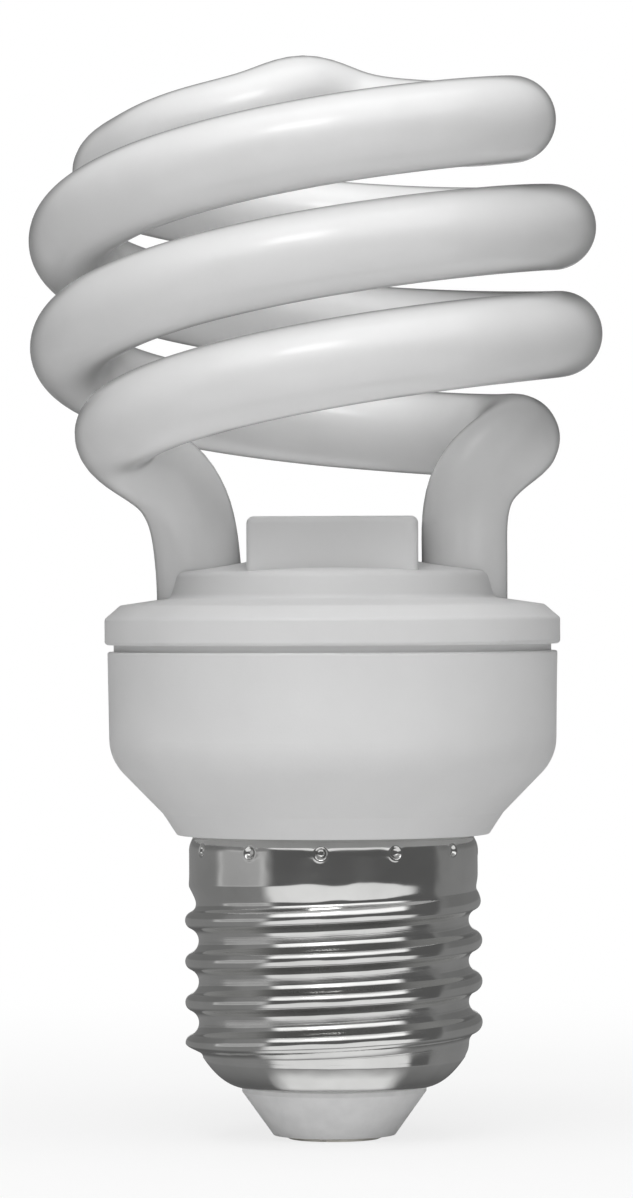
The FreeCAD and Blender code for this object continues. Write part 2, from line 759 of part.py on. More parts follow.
def electrolytic_capacitor():
    """The can that hangs from the board into the neck, with its crimped groove near the leads."""
    can = cylinder("can", "can_radius", "can_length", x="can_place", z="board_bottom - can_length")
    groove = {"x": "can_place", "z": "board_bottom - can_crimp_drop"}
    band = cylinder("can_band", "can_radius * 2", "can_groove * 2", **groove)
    core = cylinder("can_band_core", "can_radius - can_groove", "can_groove * 2", **groove)
    keep(cut("can_grooved", can, cut("can_ring", band, core)), "electrolytic_capacitor")


def drive_ring():
    """The small ring core that switches the transistors, with three short windings through it."""
    wire = size("lead_width")
    core, hole, tall = (size(n) for n in ("ring_core_radius", "ring_core_hole", "ring_core_height"))
    reach = size("parts_reach") - core - wire
    place = around(reach, size("ring_core_angle"), size("board_bottom") - tall - wire)
    band = wire * size("drive_turns")
    ring = Part.makeCylinder(core, tall).cut(Part.makeCylinder(hole, tall))
    turns = []
    for angle in (0, 120, 240):
        loop = Part.makeBox(core - hole + wire * 2, band, tall + wire * 2,
                            Vector(hole - wire, -band / 2, -wire))
        loop.rotate(Vector(), Vector(0, 0, 1), angle)
        turns.append(loop.cut(ring))
    windings = Part.makeCompound(turns)
    for shape in (ring, windings):
        shape.translate(place)
    keep(solid_feature("ring", ring), "drive_ring")
    keep(solid_feature("ring_windings", windings), "drive_windings")


def transistors():
    """Two small moulded cases with one flat side, each standing on three leads."""
    radius, tall, width = size("case_radius"), size("case_height"), size("lead_width")
    top = size("board_bottom - stand_off")
    for number, sign in ((1, 1), (2, -1)):
        case = Part.makeCylinder(radius, tall, Vector(0, 0, top - tall))
        flat = Part.makeBox(radius, radius * 2, tall, Vector(size("case_flat"), -radius, top - tall))
        shape = case.cut(flat)
        for shift in (-1, 0, 1):
            side = shift * size("case_lead_pitch")
            lead = Part.makeBox(width, width, size("stand_off"), Vector(-width / 2, side - width / 2, top))
            shape = shape.fuse(lead)
        shape.rotate(Vector(), Vector(0, 0, 1), sign * size("case_angle") + 180)
        shape.translate(around(size("parts_reach") - radius, sign * size("case_angle")))
        keep(solid_feature("transistor", shape), f"transistor_{number}")


def standing(node, kind, angle):
    """An axial part on end: its lower lead turns back up beside it to the board."""
    radius, length = size(kind + "_radius"), size(kind + "_length")
    width, gap, board = size("lead_width"), size("stand_off"), size("board_bottom")
    back = radius + width * 1.5
    half, foot = width / 2, board - gap * 2 - length
    shape = Part.makeCylinder(radius, length, Vector(0, 0, board - gap - length))
    shape = shape.fuse([
        Part.makeBox(width, width, gap, Vector(-half, -half, board - gap)),
        Part.makeBox(width, width, gap, Vector(-half, -half, foot)),
        Part.makeBox(back + width, width, width, Vector(-back - half, -half, foot)),
        Part.makeBox(width, width, gap * 2 + length, Vector(-back - half, -half, foot)),
    ])
    shape.rotate(Vector(), Vector(0, 0, 1), angle)
    shape.translate(around(size("parts_reach") - radius, angle))
    keep(solid_feature(node + "_body", shape), node)


def film_capacitors():
    """Two boxed capacitors, one on each side of the choke and the can."""
    keep(block("resonant_box", "box_width", "box_depth", "box_height", y="box_place",
               z="board_bottom - box_height"), "resonant_capacitor")
    keep(block("coupling_box", "box_width * small_box_share", "box_depth", "box_height * small_box_share",
               y="-box_place", z="board_bottom - box_height * small_box_share"), "coupling_capacitor")


def line_choke():
    """A drum core on end with its winding between the flanges."""
    place = {"x": "parts_reach - drum_radius", "z": "board_bottom - drum_height"}
    inner = {"x": place["x"], "z": place["z"] + " + drum_flange"}
    tall = "drum_height - drum_flange * 2"
    groove = cut("drum_groove", cylinder("drum_band", "drum_radius", tall, **inner),
                 cylinder("drum_waist", "drum_neck", tall, **inner))
    drum = cylinder("drum", "drum_radius", "drum_height", **place)
    keep(cut("drum_core", drum, groove), "line_choke_core")
    keep(cut("drum_winding", cylinder("drum_wound", "drum_radius - drum_winding_inset", tall, **inner),
             cylinder("drum_bore", "drum_neck", tall, **inner)), "line_choke_winding")


def small_parts():
    """What stands round the edge of the board, and the starter disc on top of it."""
    for i in range(int(size("diode_count"))):
        angle = size("diode_first_angle") + size("diode_step_angle") * i
        standing(f"rectifier_diode_{i + 1}", "diode", angle)
    for node, kind, angle in STANDING:
        standing(node, kind, angle)
    radius, thick = size("disc_radius"), size("disc_thickness")
    middle = Vector(-thick / 2, 0, size("board_top") + radius)
    keep(solid_feature("disc", Part.makeCylinder(radius, thick, middle, Vector(1, 0, 0))), "start_capacitor")


def filament_leads():
    """The wire from each side of a pinched seal, down and across to the foot of its pin."""
    width = size("wire_radius")
    half = width / 2
    low = size("board_top + wire_radius + wire_lift")
    number = 0
    for sx in (-1, 1):
        for sy in (-1, 1):
            number += 1
            start = Vector(sx * size("leg_reach"), sy * size("lead_side"), size("seal_bottom"))
            pin = Vector(sx * size("leg_reach + pin_out"), sy * size("pin_side - pin_width / 2"), low)
            left, near = min(start.x, pin.x), min(pin.y, start.y - sy * half)
            runs = (
                (start.x, start.y - half, width, width, start.z - low + half),
                (left, start.y - half, abs(pin.x - start.x) + width, width, width),
                (pin.x, near, width, abs(pin.y - start.y) + half, width),
            )
            boxes = [Part.makeBox(dx, dy, dz, Vector(x - half, y, low - half)) for x, y, dx, dy, dz in runs]
            keep(solid_feature("lead", boxes[0].fuse(boxes[1:])), f"filament_lead_{number}")


def cap_wires():
    """The two wires from the board through the neck, one to the centre contact and one to the screw shell."""
    board, radius, lane = size("board_bottom"), size("wire_radius"), size("wire_lane")
    x, gather = size("centre_wire_side"), size("insulator_top + centre_wire_rise")
    centre = [
        Vector(x, -lane, board),
        Vector(x, -lane, gather + size("centre_wire_drop")),
        Vector(0, 0, gather),
        Vector(0, 0, size("contact_thickness")),
    ]
    keep(solid_feature("centre_wire", tube_along(centre, radius)), "contact_wire")
    neck = size("neck_radius - neck_wall / 2 + neck_clearance")
    turn = size("insulator_top + wire_radius + wire_lift")
    side = [
        Vector(0, lane, board),
        Vector(0, lane, turn + size("side_wire_turn")),
        Vector(0, lane + radius * 2, turn),
        Vector(0, neck, turn),
        Vector(0, neck, turn + size("side_wire_up")),
    ]
    keep(solid_feature("side_wire", tube_along(side, radius)), "shell_wire")


def check_and_write():
    """Stops on anything that failed, then writes each piece to its own file."""
    doc.recompute()
    for item in doc.Objects:
        if "Invalid" in item.State or "Error" in item.State:
            raise RuntimeError(f"{item.Name} failed")
    os.makedirs("parts", exist_ok=True)
    for piece in pieces:
        shape = piece.Shape
        if shape.isNull() or not shape.isValid() or not shape.Solids:
            raise RuntimeError(f"{piece.Label} has no valid solid")
        shape.exportStep(f"parts/{piece.Label}.step")
        print(piece.Label, len(shape.Solids), round(shape.Volume, 1))


spiral_tube()
tube_cover()
tube_cement(1, "-")
tube_cement(2, "")
base_housing()
screw_shell()
cap_insulator()
centre_contact()
circuit_board()
choke()
electrolytic_capacitor()
drive_ring()
transistors()
film_capacitors()
line_choke()
small_parts()
filament_leads()
cap_wires()
check_and_write()
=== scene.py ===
import math

import bpy
from mathutils import Matrix, Vector


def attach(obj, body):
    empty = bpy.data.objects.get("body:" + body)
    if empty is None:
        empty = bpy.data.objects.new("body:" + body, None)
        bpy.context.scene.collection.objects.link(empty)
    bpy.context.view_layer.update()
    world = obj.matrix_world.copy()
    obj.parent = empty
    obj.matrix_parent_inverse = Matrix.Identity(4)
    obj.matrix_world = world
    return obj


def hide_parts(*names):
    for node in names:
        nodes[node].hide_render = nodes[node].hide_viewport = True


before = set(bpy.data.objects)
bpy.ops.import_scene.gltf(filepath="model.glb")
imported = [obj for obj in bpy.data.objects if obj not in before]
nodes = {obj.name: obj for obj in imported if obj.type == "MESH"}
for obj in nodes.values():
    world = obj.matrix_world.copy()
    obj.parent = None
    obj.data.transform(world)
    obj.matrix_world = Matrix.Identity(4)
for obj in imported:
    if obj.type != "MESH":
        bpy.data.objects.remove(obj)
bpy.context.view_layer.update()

MM = 0.001

# Photograph's height in pixels, its pixels a millimetre, and the camera
PHOTO_HEIGHT = 1198
PHOTO_SCALE = 11.3
CAMERA_DISTANCE = 525 * MM
CAMERA_PLACE = Vector((-1.39, 0, 47.7)) * MM
CAMERA_ROLL = math.radians(-0.25)
CAMERA_REACH = 20
SENSOR = 36

# The glass tube's line in millimetres and degrees, the same sizes as the part's source
TUBE_RADIUS = 3.8
LEG_REACH = 11.72
LEG_TOP = 50.78
# Corners of the elbow over each leg, as distance from the axis, angle and height
ELBOWS = ((12.39, 179.58, 58.12), (18.93, 191.58, 61.84))
COIL_RADIUS = 21.43
COIL_TAPER = 2.09
COIL_FLARE = 1.55
COIL_CONE = 0.5
COIL_PITCH = 19.03
COIL_START = 220.7
COIL_START_HEIGHT = 62.98
COIL_MIDDLE_TURN = 229.3
COIL_TAPER_TURN = 250
COIL_STEPS = 17
COIL_STEP = 27.5
# Corners of the bridge, as distance from the axis, and turn and rise from the corner before
BRIDGE_CORNERS = ((12.58, 33, 1.61), (4.29, 28.06, 1.57))
BRIDGE_CREST_RISE = 1.96
# How the coil leans, from the height where the lean sets in
LEAN_FRONT = math.radians(5.1)
LEAN_SIDE = math.radians(-1.86)
LEAN_SHIFT = -1.46
LEAN_FROM = 52.28
LEAN_BLEND = 9
# The pinched seals, with half of their width and depth
PINCH_TOP = 44.6
PINCH_BOTTOM = 42.0
PINCH_HALF = (3.2, 1.1)
PINCH_ROWS = 6
# The glass mesh: how far it stays inside the tube's radius, its step, softened steps and sides
GLASS_INSET = 0.01
GLASS_STEP = 0.9
GLASS_EASE = 3
GLASS_SIDES = 64
# A corner that turns less than this, in radians, counts as straight
STRAIGHT_TURN = 1e-4

# The rolled shell in millimetres, on the same radii and heights as the part's source
SHELL_TOP = 26.9
SHELL_WALL = 0.3
SHELL_SIDES = 144
INSIDE_ROW_STEP = 4
SKIRT_RADIUS = 12.77
SKIRT_EDGE_START = 25.4
SKIRT_EDGE_END = 26.62
SKIRT_EDGE_BEND = 2.45
THREAD_BOTTOM = 7.2
THREAD_MEAN = 12.55
THREAD_DEPTH = 1.2
THREAD_PITCH = 3.62
THREAD_CREST = 8.46
THREAD_CREST_SHARE = 0.42
THREAD_RUN_IN = 1.3
THREAD_RUN_OUT = (19.6, 23.4)
THREAD_ROWS = 170
THREAD_TOP_ROW = 24.6
# Points that the turned-in rim passes through, as radius and height
RIM = ((8.26, 4.6), (9.96, 5.35), (11.6, 7.2))
RIM_ROWS = 16
RIM_WALL = SHELL_WALL * 0.9
LIP_ROUND = 0.06
# The punch marks; the floor, and where the raised rim lies, are shares of the radius
DIMPLE_COUNT = 12
DIMPLE_HEIGHT = 25.7
DIMPLE_RADIUS = 0.62
DIMPLE_FLOOR = 0.3
DIMPLE_DEPTH = 0.32
DIMPLE_RIM = 0.03
DIMPLE_RIM_AT = 1.05
DIMPLE_RIM_HALF = 0.3
DIMPLE_PHASE = -5
DIMPLE_STEP = 0.09
DIMPLE_SIDE_STEPS = 8

# The range of a noise that its colours and roughness are spread over
NOISE_RANGE = (0.3, 0.7)

# Painted shade at the glass's rim: where it starts and ends by how far the surface turns away, and how much
# of the colour is left there
PAINTED_GLASS_RIM_SHADE = (0.64, 0.92, 1.0, 0.5)

# The nickel's valleys, by the cosine of the thread's turn, and by low end, high end and softness
VALLEY_COSINES = (-0.8, -0.96)
VALLEY_SPAN = (8, 21, 0.6)
VALLEY_ROUGHNESS = 0.1
# The fine lines in them, as a noise's scale and detail, its stretch with height and its depth
VALLEY_LINES = (6, 2)
VALLEY_LINES_RISE = 30
VALLEY_LINES_DEPTH = 0.03
# The nickel's haze and slow waves
HAZE_ROUGHNESS = (0.09, 0.16)
WAVE_DEPTH = 0.1

# Light on matt surfaces, as shares of the sky
SKY_ALL, SKY_HIGH_FRONT, SKY_BEHIND = 0.09, 1.6, 0.5
SKY_FRONT_AXIS = (0, -0.64, 0.77)
SKY_FRONT_SPREAD = (0.75, 0.95)

# The floor, in metres, with its mottle in millimetres
FLOOR_REACH = 0.3
FLOOR_SIDES = 96
FLOOR_GREYS = (0.79, 0.81)
FLOOR_MOTTLE = 40
# Where it starts and ends to turn white to the eye, and how white it is there
FLOOR_FADE = (0.03, 0.2, 0.78, 1.0)

# The lamps, as name, place, width, height, power and whether gloss mirrors them
LAMP_AIM = Vector((0, 0, 0.055))
SOFT_BOXES = [
    ("key_box", (-0.1, -0.42, 0.50), 0.24, 0.15, 0.53, True),
    ("top_box", (0.0, -0.05, 0.65), 0.5, 0.4, 2.0, False),
    ("low_box", (0.0, -0.5, 0.05), 0.4, 0.06, 0.18, False),
]

# What polished surfaces mirror, by twice a surface's turn to the right and twice its tilt up, in degrees
ROOM_LEVEL = 0.25
# Screens, window and lamps, as left, right, bottom, top, softness and level
ROOM_PANELS = [
    (-50, 91, -60, 90, 3, 0.118),
    (-106, -55, -17, 19, 3, 0.62),
    (-101, -59, -12, 14, 3, 0.43),
    (95, 265, 14, 80, 8, 0.19),
    (174, 186, -60, 60, 2, 1.0),
]
# Where the room darkens upwards and downwards, from start to end, and its level there
ROOM_BEYOND = (60, 120, 0.12)
# The softbox and the table lie between lines given as side and rise, and have soft left and right ends
SOFTBOX_SIDES = (-52, 56, 5)
SOFTBOX_FOOT = [(-60, 34), (-30, 27), (0, 25), (30, 26), (46, 28), (60, 36)]
SOFTBOX_HEAD = 96
SOFTBOX_LEVEL = 0.95
SOFTBOX_GLARE = (34, 60, 4, 1.3)
TABLE_SIDES = (-54, 68, 5)
TABLE_EDGE = [(-60, -22), (-38, -15), (-18, -7), (2, -17), (23, -8), (45, -13), (60, -22), (90, -34)]
TABLE_FAR = -66
TABLE_LEVEL = 0.92
TABLE_POOL = (-54, 62, -128, -80, 12, 0.9)
LOW_LINE_SOFT, HIGH_LINE_SOFT = 2, 3
# What light that is mirrored twice in the grooves meets, from the front to the sides
GROOVE_LEVELS = (45, 85, 0.15, 0.33)
TWICE_MIRRORED = 1.5


def around(reach, angle, height=0.0):
    """The point at a distance from the axis, an angle in degrees and a height."""
    turn = math.radians(angle)
    return Vector((reach * math.cos(turn), reach * math.sin(turn), height))


def ease(share):
    """A smooth step from 0 to 1."""
    share = min(1.0, max(0.0, share))
    return share * share * (3 - 2 * share)


def new_object(name, data):
    """An object in the scene that carries a mesh, a lamp or a camera."""
    obj = bpy.data.objects.new(name, data)
    bpy.context.scene.collection.objects.link(obj)
    return obj


def new_piece(name, verts, faces, replaced):
    """A smooth mesh piece in metres from points in millimetres, standing for a CAD node."""
    mesh = bpy.data.meshes.new(name)
    mesh.from_pydata([Vector(v) * MM for v in verts], [], faces)
    mesh.validate()
    mesh.shade_smooth()
    obj = new_object(name, mesh)
    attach(obj, "root")
    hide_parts(replaced)
    return obj


# Glass tube

def lean(point):
    """Where a point of the true coil lies once the coil leans to the front and the side."""
    share = min(1.0, max(0.0, (point.z - LEAN_FROM) / LEAN_BLEND))
    middle = Vector((0, 0, COIL_START_HEIGHT + COIL_PITCH * COIL_MIDDLE_TURN / 360))
    turn = Matrix.Rotation(LEAN_SIDE, 3, "Y") @ Matrix.Rotation(-LEAN_FRONT, 3, "X")
    moved = turn @ (point - middle) + middle + Vector((LEAN_SHIFT, 0, 0))
    return point + (moved - point) * share


def coil_corners():
    """The corner points of one strand, from its foot round and up to the bridge."""
    points = [around(LEG_REACH, 180, PINCH_TOP), around(LEG_REACH, 180, LEG_TOP)]
    points += [around(*bend) for bend in ELBOWS]
    for i in range(COIL_STEPS + 1):
        turn = COIL_STEP * i
        share = (turn - COIL_MIDDLE_TURN) / COIL_TAPER_TURN
        bulge = -COIL_TAPER if share < 0 else COIL_FLARE
        reach = COIL_RADIUS - COIL_CONE * share + bulge * abs(share) ** 3
        height = COIL_START_HEIGHT + COIL_PITCH * turn / 360
        points.append(around(reach / math.cos(math.radians(COIL_STEP / 2)), COIL_START + turn, height))
    angle = COIL_START + COIL_STEPS * COIL_STEP
    height = COIL_START_HEIGHT + COIL_PITCH * COIL_STEPS * COIL_STEP / 360
    for reach, turn, rise in BRIDGE_CORNERS:
        angle += turn
        height += rise
        points.append(around(reach, angle, height))
    return points


def arc_points(corners, step):
    """Points along the runs and tangent arcs of a corner line, about a step apart."""
    runs = [(b - a).length for a, b in zip(corners, corners[1:])]
    line = [corners[0]]

    def run_to(goal):
        start = line[-1]
        count = max(1, round((goal - start).length / step))
        line.extend(start.lerp(goal, i / count) for i in range(1, count + 1))

    for i in range(1, len(corners) - 1):
        back = (corners[i - 1] - corners[i]).normalized()
        ahead = (corners[i + 1] - corners[i]).normalized()
        turn = math.pi - back.angle(ahead)
        if turn < STRAIGHT_TURN:
            continue
        reach = 0.5 * min(runs[i - 1], runs[i])
        radius = reach / math.tan(turn / 2)
        inward = (back + ahead).normalized()
        centre = corners[i] + inward * (radius / math.cos(turn / 2))
        start = corners[i] + back * reach
        if (start - line[-1]).length > step / 2:
            run_to(start)
        axis = back.cross(ahead)
        count = max(2, round(radius * turn / step))
        for k in range(1, count + 1):
            line.append(centre + Matrix.Rotation(-turn * k / count, 3, axis) @ (start - centre))
    run_to(corners[-1])
    return line


def mean_line(line, reach):
    """Each point's mean with its neighbours, and the two ends left where they are."""
    middle = [sum(line[i - reach:i + reach + 1], Vector()) / (2 * reach + 1)
              for i in range(reach, len(line) - reach)]
    return line[:reach] + middle + line[-reach:]


def eased_line(line, reach):
    """The line with its changes of bend spread out, without drawing its bends inwards."""
    soft = mean_line(line, reach)
    softer = mean_line(soft, reach)
    return [a * 2 - b for a, b in zip(soft, softer)]


def glass_spiral():
    """The glass as one smooth tube, with a pinched seal at each foot."""
    strand = coil_corners()
    crest = Vector((0, 0, strand[-1].z + BRIDGE_CREST_RISE))
    other = [Vector((-p.x, -p.y, p.z)) for p in reversed(strand)]
    line = arc_points([lean(p) for p in strand + [crest] + other], GLASS_STEP)
    line = eased_line(line, GLASS_EASE)
    radius = TUBE_RADIUS - GLASS_INSET
    verts = []
    side = Vector((0, 1, 0))

    def ring(centre, ahead, wide, deep):
        """Adds one section of the tube, square to its line."""
        nonlocal side
        side = (side - ahead * side.dot(ahead)).normalized()
        up = ahead.cross(side)
        for k in range(GLASS_SIDES):
            turn = 2 * math.pi * k / GLASS_SIDES
            verts.append(centre + side * (wide * math.cos(turn)) + up * (deep * math.sin(turn)))

    def seal(foot, ahead, steps):
        """Adds the sections of a pinched seal below a leg's end."""
        for i in steps:
            height = PINCH_BOTTOM + (PINCH_TOP - PINCH_BOTTOM) * i / PINCH_ROWS
            wide, deep = (half + (radius - half) * ease(i / PINCH_ROWS) for half in PINCH_HALF)
            ring(Vector((foot.x, foot.y, height)), ahead, wide, deep)

    seal(line[0], Vector((0, 0, 1)), range(PINCH_ROWS))
    for i, point in enumerate(line):
        ahead = line[min(i + 1, len(line) - 1)] - line[max(i - 1, 0)]
        ring(point, ahead.normalized(), radius, radius)
    seal(line[-1], Vector((0, 0, -1)), reversed(range(PINCH_ROWS)))
    last = len(verts) - GLASS_SIDES
    faces = []
    for start in range(0, last, GLASS_SIDES):
        for k in range(GLASS_SIDES):
            a, b = start + k, start + (k + 1) % GLASS_SIDES
            faces.append((a, b, b + GLASS_SIDES, a + GLASS_SIDES))
    faces.append(tuple(reversed(range(GLASS_SIDES))))
    faces.append(tuple(range(last, len(verts))))
    return new_piece("glass_spiral", verts, faces, "spiral_tube")


# Rolled screw shell

def thread_offset(height, angle):
    """How far the rolled thread stands out of its mean radius: two arcs that meet on the flank."""
    half_pitch, depth = THREAD_PITCH / 2, THREAD_DEPTH
    flank = 2 * math.atan(depth / half_pitch)
    arcs = half_pitch / math.sin(flank)
    crest = arcs * THREAD_CREST_SHARE
    valley = arcs - crest
    turn = 0.5 + (height - THREAD_CREST) / THREAD_PITCH - angle / 360
    away = abs(turn - round(turn)) * THREAD_PITCH
    if away < crest * math.sin(flank):
        return depth / 2 - crest + math.sqrt(crest ** 2 - away ** 2)
    return valley - depth / 2 - math.sqrt(valley ** 2 - (half_pitch - away) ** 2)


def dimple_push(height, angle):
    """How far a punch mark presses the skirt in at a place, less than nothing on its raised rim."""
    nearest = round((angle + 90 - DIMPLE_PHASE) * DIMPLE_COUNT / 360) * 360 / DIMPLE_COUNT
    off = math.radians(angle + 90 - DIMPLE_PHASE - nearest) * SKIRT_RADIUS
    apart = math.hypot(off, height - DIMPLE_HEIGHT) / DIMPLE_RADIUS
    pit = DIMPLE_DEPTH * (1 - ease((apart - DIMPLE_FLOOR) / (1 - DIMPLE_FLOOR)))
    rim = DIMPLE_RIM * max(0.0, 1 - abs(apart - DIMPLE_RIM_AT) / DIMPLE_RIM_HALF)
    return pit - rim


def wall_reach(height, angle):
    """The radius of the shell's outside: rim, thread, skirt and the skirt's drawn-in edge."""
    run_in = ease((height - THREAD_BOTTOM) / THREAD_RUN_IN)
    low, high = THREAD_RUN_OUT
    run_out = ease((height - low) / (high - low))
    reach = RIM[2][0] + (THREAD_MEAN - RIM[2][0]) * run_in + (SKIRT_RADIUS - THREAD_MEAN) * run_out
    reach += thread_offset(height, angle) * min(run_in, 1 - run_out)
    over = min(height, SKIRT_EDGE_END) - SKIRT_EDGE_START
    if over > 0:
        reach -= SKIRT_EDGE_BEND - math.sqrt(SKIRT_EDGE_BEND ** 2 - over ** 2)
    return reach - dimple_push(height, angle)


def shell_angles():
    """Angles round the shell, closer together at each punch mark."""
    step = math.degrees(DIMPLE_STEP / SKIRT_RADIUS)
    clear = step * (DIMPLE_SIDE_STEPS + 1)
    side_steps = range(-DIMPLE_SIDE_STEPS, DIMPLE_SIDE_STEPS + 1)
    angles = {round(360 * i / SHELL_SIDES, 4) for i in range(SHELL_SIDES)}
    for i in range(DIMPLE_COUNT):
        centre = -90 + DIMPLE_PHASE + 360 * i / DIMPLE_COUNT
        angles = {a for a in angles if abs((a - centre + 180) % 360 - 180) > clear}
        angles |= {round((centre + k * step) % 360, 4) for k in side_steps}
    return sorted(angles)


def rolled_shell():
    """The thin nickel shell: turned-in rim, rolled thread, skirt with punch marks and drawn-in edge."""
    angles = shell_angles()
    span = THREAD_TOP_ROW - THREAD_BOTTOM
    heights = [THREAD_BOTTOM + span * i / THREAD_ROWS for i in range(THREAD_ROWS + 1)]
    rows_up = int((SHELL_TOP - LIP_ROUND - THREAD_TOP_ROW) / DIMPLE_STEP)
    heights += [THREAD_TOP_ROW + DIMPLE_STEP * (i + 1) for i in range(rows_up)]
    verts, rows = [], []

    def row(points):
        """Adds one ring of points."""
        rows.append(range(len(verts), len(verts) + len(points)))
        verts.extend(points)

    def rim_row(share, inset):
        """Adds a ring of the turned-in rim, a share of the way from its edge to the thread."""
        a, b, c = (Vector((r, z)) for r, z in RIM)
        bend = b * 2 - (a + c) / 2
        at = a * (1 - share) ** 2 + bend * 2 * share * (1 - share) + c * share ** 2
        row([around(at.x - inset, angle, at.y + inset * (1 - share)) for angle in angles])

    def wall_row(height, inset):
        """Adds a ring of the wall, set in from its outside."""
        row([around(wall_reach(height, angle) - inset, angle, height) for angle in angles])

    for i in range(RIM_ROWS):
        rim_row(i / RIM_ROWS, 0)
    for height in heights:
        wall_row(height, 0)
    wall_row(SHELL_TOP, LIP_ROUND)
    wall_row(SHELL_TOP, SHELL_WALL - LIP_ROUND)
    for height in heights[::-1][::INSIDE_ROW_STEP]:
        wall_row(height, SHELL_WALL)
    for i in range(RIM_ROWS - 1, -1, -1):
        rim_row(i / RIM_ROWS, RIM_WALL)
    faces = []
    count = len(angles)
    for lower, upper in zip(rows, rows[1:] + rows[:1]):
        for k in range(count):
            after = (k + 1) % count
            faces.append((lower[k], lower[after], upper[after], upper[k]))
    return new_piece("rolled_shell", verts, faces, "screw_shell")


# Materials

class Graph:
    """Helpers that add nodes to a tree and link them, where an input is a socket or a plain number."""

    def __init__(self, tree):
        self.tree = tree

    def link(self, value, socket):
        """Feeds a socket from another one or sets it to a plain value."""
        if isinstance(value, bpy.types.NodeSocket):
            self.tree.links.new(value, socket)
        else:
            socket.default_value = value

    def math(self, operation, *values):
        """The result of one operation on numbers."""
        node = self.tree.nodes.new("ShaderNodeMath")
        node.operation = operation
        for value, socket in zip(values, node.inputs):
            self.link(value, socket)
        return node.outputs[0]

    def parts(self, vector):
        """The x, y and z of a vector."""
        node = self.tree.nodes.new("ShaderNodeSeparateXYZ")
        self.link(vector, node.inputs[0])
        return tuple(node.outputs)

    def dot(self, vector, direction):
        """How far a vector points along a direction."""
        node = self.tree.nodes.new("ShaderNodeVectorMath")
        node.operation = "DOT_PRODUCT"
        self.link(vector, node.inputs[0])
        self.link(Vector(direction).normalized(), node.inputs[1])
        return node.outputs["Value"]

    def ramp(self, value, start, end, low=0.0, high=1.0, smooth=True):
        """A value spread from one range over another, held at its ends."""
        node = self.tree.nodes.new("ShaderNodeMapRange")
        node.interpolation_type = "SMOOTHSTEP" if smooth else "LINEAR"
        for key, number in (("From Min", start), ("From Max", end), ("To Min", low), ("To Max", high)):
            self.link(number, node.inputs[key])
        self.link(value, node.inputs["Value"])
        return node.outputs["Result"]

    def band(self, value, low, high, soft):
        """1 where a value lies between two limits, with soft edges."""
        rise = self.ramp(value, low - soft, low + soft)
        fall = self.ramp(value, high - soft, high + soft)
        return self.math("SUBTRACT", rise, fall)

    def curve(self, value, points):
        """A smooth line through points of value and result, held at its ends."""
        first, last = points[0][0], points[-1][0]
        low, high = min(p[1] for p in points), max(p[1] for p in points)
        node = self.tree.nodes.new("ShaderNodeFloatCurve")
        line = node.mapping.curves[0]
        marks = [((x - first) / (last - first), (y - low) / (high - low)) for x, y in points]
        line.points[0].location, line.points[1].location = marks[0], marks[-1]
        for mark in marks[1:-1]:
            line.points.new(*mark)
        node.mapping.update()
        self.link(self.ramp(value, first, last, smooth=False), node.inputs["Value"])
        return self.ramp(node.outputs[0], 0, 1, low, high, smooth=False)

    def noise(self, vector, scale, detail):
        """Smooth noise at a place."""
        node = self.tree.nodes.new("ShaderNodeTexNoise")
        node.inputs["Scale"].default_value = scale
        node.inputs["Detail"].default_value = detail
        self.link(vector, node.inputs["Vector"])
        return node.outputs["Fac"]


class Finish(Graph):
    """A node material with one Principled shader that is fed from object coordinates."""

    def __init__(self, name, **fixed):
        self.material = bpy.data.materials.new(name)
        self.material.use_nodes = True
        super().__init__(self.material.node_tree)
        self.shader = self.tree.nodes["Principled BSDF"]
        for key, number in fixed.items():
            self.shader.inputs[key.replace("_", " ")].default_value = number
        self.place = self.tree.nodes.new("ShaderNodeTexCoord").outputs["Object"]

    def grain(self, size_mm, detail, stretch=None):
        """Noise whose features are about this many millimetres across."""
        place = self.place
        if stretch:
            node = self.tree.nodes.new("ShaderNodeMapping")
            node.inputs["Scale"].default_value = stretch
            self.link(place, node.inputs["Vector"])
            place = node.outputs["Vector"]
        return self.noise(place, 1000 / size_mm, detail)

    def colour(self, value, dark, light):
        """Base colour that runs between two colours with a noise."""
        ramp = self.tree.nodes.new("ShaderNodeValToRGB")
        for element, position, shade in zip(ramp.color_ramp.elements, NOISE_RANGE, (dark, light)):
            element.position = position
            element.color = (*shade, 1)
        self.link(value, ramp.inputs["Fac"])
        self.link(ramp.outputs["Color"], self.shader.inputs["Base Color"])
        return ramp.outputs["Color"]

    def spread(self, value, low, high):
        """A noise spread evenly from low to high."""
        return self.ramp(value, *NOISE_RANGE, low, high, smooth=False)

    def roughness(self, value, low, high):
        """Roughness that runs from low to high with a noise."""
        self.link(self.spread(value, low, high), self.shader.inputs["Roughness"])

    def bump(self, *layers):
        """Bump from one or more values, each with its own depth in millimetres."""
        normal = None
        for value, depth_mm in layers:
            node = self.tree.nodes.new("ShaderNodeBump")
            node.inputs["Strength"].default_value = 1
            node.inputs["Distance"].default_value = depth_mm * MM
            self.link(value, node.inputs["Height"])
            if normal:
                self.link(normal, node.inputs["Normal"])
            normal = node.outputs["Normal"]
        self.link(normal, self.shader.inputs["Normal"])


def grey(level):
    """A colour without hue."""
    return (level, level, level)


